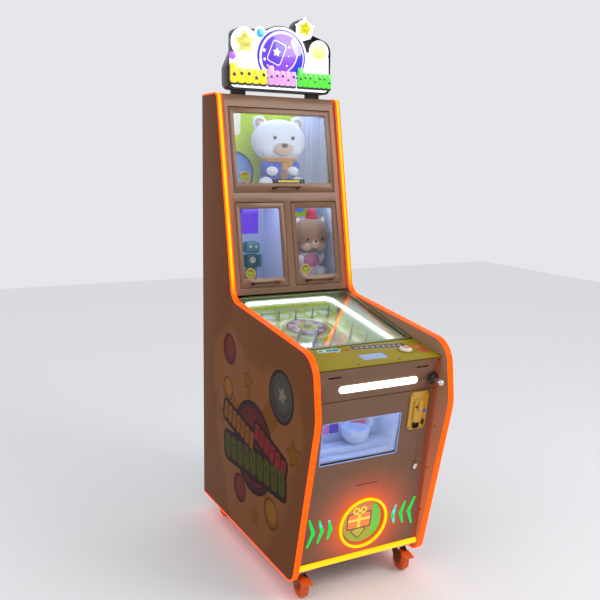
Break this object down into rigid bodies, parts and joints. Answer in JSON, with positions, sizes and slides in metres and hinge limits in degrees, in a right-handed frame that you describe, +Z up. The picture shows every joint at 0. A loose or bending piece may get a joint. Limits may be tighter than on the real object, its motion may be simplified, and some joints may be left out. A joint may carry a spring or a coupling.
{
  "type": "prize pinball arcade machine",
  "caption": "Upright prize pinball cabinet with windowed prize compartments, a glazed pin playfield, plunger, coin door, prize outlet flap, edge lights and casters.",
  "frame": {"origin": "centre of the bounding box footprint, on the floor under the caster wheels", "axes": "+Z up, the front with the door faces -Y, +X to the player's right"},
  "size_m": [0.56, 1.012, 2.137],
  "materials": {
    "cabinet_paint": "satin sprayed panel paint",
    "side_paint": "printed laminate on board",
    "board": "varnished plywood",
    "white_board": "white melamine",
    "backdrop_print": "printed sheet",
    "orange_light": "lit silicone strip",
    "yellow_light": "lit acrylic",
    "white_light": "lit diffuser",
    "clear_glass": "clear",
    "white_plush": "short pile plush",
    "brown_plush": "short pile plush",
    "teal_plastic": "translucent moulding",
    "field_print": "printed playfield",
    "field_wall": "pale green plastic",
    "steel": "zinc plated",
    "chrome": "polished",
    "alloy": "extruded section",
    "deck_print": "printed overlay",
    "ivory_plastic": "moulded",
    "coin_yellow": "moulded yellow",
    "blue_plastic": "moulded",
    "black_plastic": "moulded",
    "flap_print": "printed acrylic",
    "tray_plastic": "vacuum formed white",
    "grey_metal": "powder coat",
    "topper_black": "black return",
    "topper_white": "lit acrylic face",
    "wheel_rubber": "polyurethane tread"
  },
  "bodies": {
    "root": {"left_side_panel": "side_paint", "right_side_panel": "side_paint", "edge_lights": "orange_light", "base_board": "board", "roof_panel": "cabinet_paint", "back_panel": "board", "upper_front_frame": "cabinet_paint", "prize_shelves": "white_board", "prize_backdrop": "backdrop_print", "top_plush_prize": "white_plush", "robot_prize": "teal_plastic", "bear_plush_prize": "brown_plush", "playfield_board": "field_print", "playfield_surround": "field_wall", "playfield_posts": "steel", "playfield_lanes": "field_wall", "playfield_light": "white_light", "deck_panel": "deck_print", "front_upper_panel": "cabinet_paint", "front_light_bar": "white_light", "plunger_housing": "steel", "plunger_spring": "steel", "bottom_light": "yellow_light", "prize_chute": "tray_plastic", "cash_box": "grey_metal", "control_box": "grey_metal", "power_inlet": "black_plastic", "topper_housing": "topper_black", "topper_face": "topper_white", "caster_plates": "steel"},
    "rear_door": {"rear_door": "board"},
    "big_prize_door": {"big_prize_door": "cabinet_paint", "big_prize_window": "clear_glass"},
    "left_prize_door": {"left_prize_door": "cabinet_paint", "left_prize_window": "clear_glass"},
    "right_prize_door": {"right_prize_door": "cabinet_paint", "right_prize_window": "clear_glass"},
    "glass_frame": {"glass_frame": "alloy", "playfield_glass": "clear_glass"},
    "start_button": {"start_button": "ivory_plastic"},
    "plunger": {"plunger_rod": "chrome"},
    "game_ball": {"game_ball": "chrome"},
    "front_door": {"front_door": "cabinet_paint", "front_door_window": "clear_glass", "coin_plate": "coin_yellow", "door_lights": "yellow_light"},
    "coin_button": {"coin_button": "blue_plastic"},
    "coin_lever": {"coin_lever": "black_plastic"},
    "door_lock": {"door_lock": "steel"},
    "prize_flap": {"prize_flap": "flap_print"},
    "front_left_fork": {"front_left_fork": "steel"},
    "front_left_wheel": {"front_left_wheel": "wheel_rubber"},
    "front_left_pedal": {"front_left_pedal": "grey_metal"},
    "front_right_fork": {"front_right_fork": "steel"},
    "front_right_wheel": {"front_right_wheel": "wheel_rubber"},
    "front_right_pedal": {"front_right_pedal": "grey_metal"},
    "rear_left_fork": {"rear_left_fork": "steel"},
    "rear_left_wheel": {"rear_left_wheel": "wheel_rubber"},
    "rear_right_fork": {"rear_right_fork": "steel"},
    "rear_right_wheel": {"rear_right_wheel": "wheel_rubber"}
  },
  "joints": [
    {"name": "rear_door_hinge", "type": "hinge", "parent": "root", "child": "rear_door", "pos_m": [-0.1955, 0.5025, 0.58], "axis": [0, 0, 1], "range_deg": [0, 110]},
    {"name": "big_prize_door_hinge", "type": "hinge", "parent": "root", "child": "big_prize_door", "pos_m": [0, 0.35187, 1.75948], "axis": [-1, 0, 0], "range_deg": [0, 75]},
    {"name": "left_prize_door_hinge", "type": "hinge", "parent": "root", "child": "left_prize_door", "pos_m": [-0.124, 0.27828, 1.3826], "axis": [-1, 0, 0], "range_deg": [0, 75]},
    {"name": "right_prize_door_hinge", "type": "hinge", "parent": "root", "child": "right_prize_door", "pos_m": [0.124, 0.27828, 1.3826], "axis": [-1, 0, 0], "range_deg": [0, 75]},
    {"name": "glass_frame_hinge", "type": "hinge", "parent": "root", "child": "glass_frame", "pos_m": [0, 0.20577, 1.01113], "axis": [-1, 0, 0], "range_deg": [0, 45]},
    {"name": "start_button_press", "type": "slide", "parent": "root", "child": "start_button", "axis": [0, 0.1409, -0.99], "range_m": [0, 0.004], "stiffness_N_per_m": 400, "springref_m": -0.004},
    {"name": "plunger_pull", "type": "slide", "parent": "root", "child": "plunger", "axis": [0, -0.9909, -0.1349], "range_m": [0, 0.04], "stiffness_N_per_m": 120, "springref_m": -0.05, "deforming": ["plunger_spring"]},
    {"name": "ball_roll", "type": "slide", "parent": "root", "child": "game_ball", "axis": [0, 0.9866, 0.1633], "range_m": [0, 0.3]},
    {"name": "front_door_hinge", "type": "hinge", "parent": "root", "child": "front_door", "pos_m": [-0.254, -0.39196, 0.45023], "axis": [0, 0.1349, -0.9909], "range_deg": [0, 88]},
    {"name": "coin_button_press", "type": "slide", "parent": "front_door", "child": "coin_button", "axis": [0, 0.9909, 0.1349], "range_m": [0, 0.003], "stiffness_N_per_m": 200, "springref_m": -0.003},
    {"name": "coin_lever_turn", "type": "hinge", "parent": "front_door", "child": "coin_lever", "pos_m": [0.203, -0.41145, 0.64538], "axis": [1, 0, 0], "range_deg": [0, 10], "stiffness_Nm_per_rad": 0.05, "springref_deg": -11.46},
    {"name": "door_lock_turn", "type": "hinge", "parent": "front_door", "child": "door_lock", "pos_m": [0.206, -0.39547, 0.45378], "axis": [0, -0.9909, -0.1349], "range_deg": [0, 90]},
    {"name": "prize_flap_hinge", "type": "hinge", "parent": "front_door", "child": "prize_flap", "pos_m": [0.003, -0.3692, 0.32011], "axis": [1, 0, 0], "range_deg": [0, 45]},
    {"name": "front_left_swivel", "type": "hinge", "parent": "root", "child": "front_left_fork", "pos_m": [-0.22, -0.29, 0.095], "axis": [0, 0, 1], "continuous": true},
    {"name": "front_left_wheel_roll", "type": "hinge", "parent": "front_left_fork", "child": "front_left_wheel", "pos_m": [-0.22, -0.316, 0.0375], "axis": [1, 0, 0], "continuous": true},
    {"name": "front_left_brake", "type": "hinge", "parent": "front_left_fork", "child": "front_left_pedal", "pos_m": [-0.22, -0.336, 0.073], "axis": [1, 0, 0], "range_deg": [0, 12]},
    {"name": "front_right_swivel", "type": "hinge", "parent": "root", "child": "front_right_fork", "pos_m": [0.22, -0.29, 0.095], "axis": [0, 0, 1], "continuous": true},
    {"name": "front_right_wheel_roll", "type": "hinge", "parent": "front_right_fork", "child": "front_right_wheel", "pos_m": [0.22, -0.316, 0.0375], "axis": [1, 0, 0], "continuous": true},
    {"name": "front_right_brake", "type": "hinge", "parent": "front_right_fork", "child": "front_right_pedal", "pos_m": [0.22, -0.336, 0.073], "axis": [1, 0, 0], "range_deg": [0, 12]},
    {"name": "rear_left_swivel", "type": "hinge", "parent": "root", "child": "rear_left_fork", "pos_m": [-0.22, 0.43, 0.095], "axis": [0, 0, 1], "continuous": true},
    {"name": "rear_left_wheel_roll", "type": "hinge", "parent": "rear_left_fork", "child": "rear_left_wheel", "pos_m": [-0.22, 0.404, 0.0375], "axis": [1, 0, 0], "continuous": true},
    {"name": "rear_right_swivel", "type": "hinge", "parent": "root", "child": "rear_right_fork", "pos_m": [0.22, 0.43, 0.095], "axis": [0, 0, 1], "continuous": true},
    {"name": "rear_right_wheel_roll", "type": "hinge", "parent": "rear_right_fork", "child": "rear_right_wheel", "pos_m": [0.22, 0.404, 0.0375], "axis": [1, 0, 0], "continuous": true}
  ]
}
